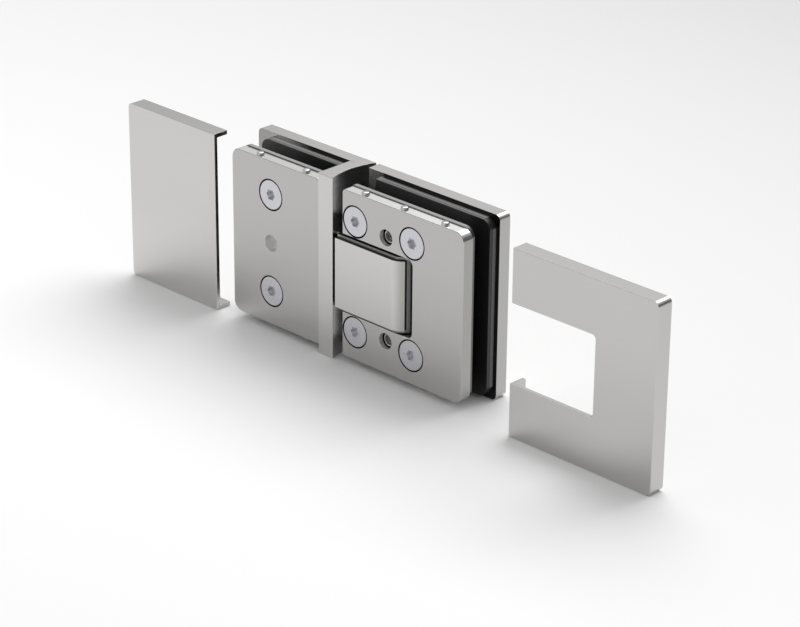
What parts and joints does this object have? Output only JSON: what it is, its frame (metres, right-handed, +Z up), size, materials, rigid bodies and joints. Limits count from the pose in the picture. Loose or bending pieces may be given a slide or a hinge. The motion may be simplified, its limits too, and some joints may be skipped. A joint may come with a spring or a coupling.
{
  "type": "double action glass door hinge",
  "caption": "Double action hinge for a frameless glass door: clamp halves with gaskets joined by a pivot block, and press-on cover plates standing at either side.",
  "frame": {"origin": "on the surface that the hinge stands on, under the foot of the upright web between the halves, level in depth with the pivot axis", "axes": "+X along the hinge from the fixed half to the door half, +Y to the rear, +Z up along the pivot axis"},
  "size_m": [0.3303, 0.0292, 0.09],
  "materials": {
    "satin_steel": "fine satin brushed stainless steel",
    "gasket_rubber": "matt grey rubber sheet",
    "shim_rubber": "matt dark grey packing sheet",
    "screw_steel": "bright zinc plated steel",
    "polished_steel": "polished steel",
    "cast_body": "dull grey cast metal",
    "bronze": "sintered bronze",
    "nylon": "natural white nylon",
    "spring_steel": "blued spring steel"
  },
  "bodies": {
    "fixed_half": {"fixed_bracket": "satin_steel", "fixed_clamp_plate": "satin_steel", "fixed_front_gasket": "gasket_rubber", "fixed_rear_gasket": "gasket_rubber", "fixed_rear_shim": "shim_rubber", "fixed_clamp_screws": "screw_steel", "fixed_screw_sleeves": "nylon", "fixed_snap_studs": "polished_steel", "pivot_body": "cast_body", "pivot_front_shell": "satin_steel", "pivot_rear_shell": "satin_steel", "pivot_body_screws": "screw_steel", "upper_pin_bush": "bronze", "lower_pin_bush": "bronze", "upper_thrust_washer": "nylon", "lower_thrust_washer": "nylon", "pin_fork_spring": "spring_steel", "door_cover": "satin_steel"},
    "door_half": {"hinge_pin": "polished_steel", "pin_yoke": "cast_body", "pin_set_screws": "screw_steel", "door_back_plate": "satin_steel", "door_clamp_plate": "satin_steel", "door_front_gasket": "gasket_rubber", "door_rear_gasket": "gasket_rubber", "door_rear_shim": "shim_rubber", "door_clamp_screws": "screw_steel", "door_snap_studs": "polished_steel"},
    "fixed_cover_body": {"fixed_cover": "satin_steel"}
  },
  "joints": [
    {"name": "door_swing", "type": "hinge", "parent": "fixed_half", "child": "door_half", "pos_m": [0.038, 0, 0], "axis": [0, 0, 1], "range_deg": [-90, 90], "deforming": ["pin_fork_spring"]},
    {"name": "fixed_cover_slide", "type": "slide", "parent": "fixed_half", "child": "fixed_cover_body", "axis": [1, 0, 0], "range_m": [0, 0.068]}
  ]
}
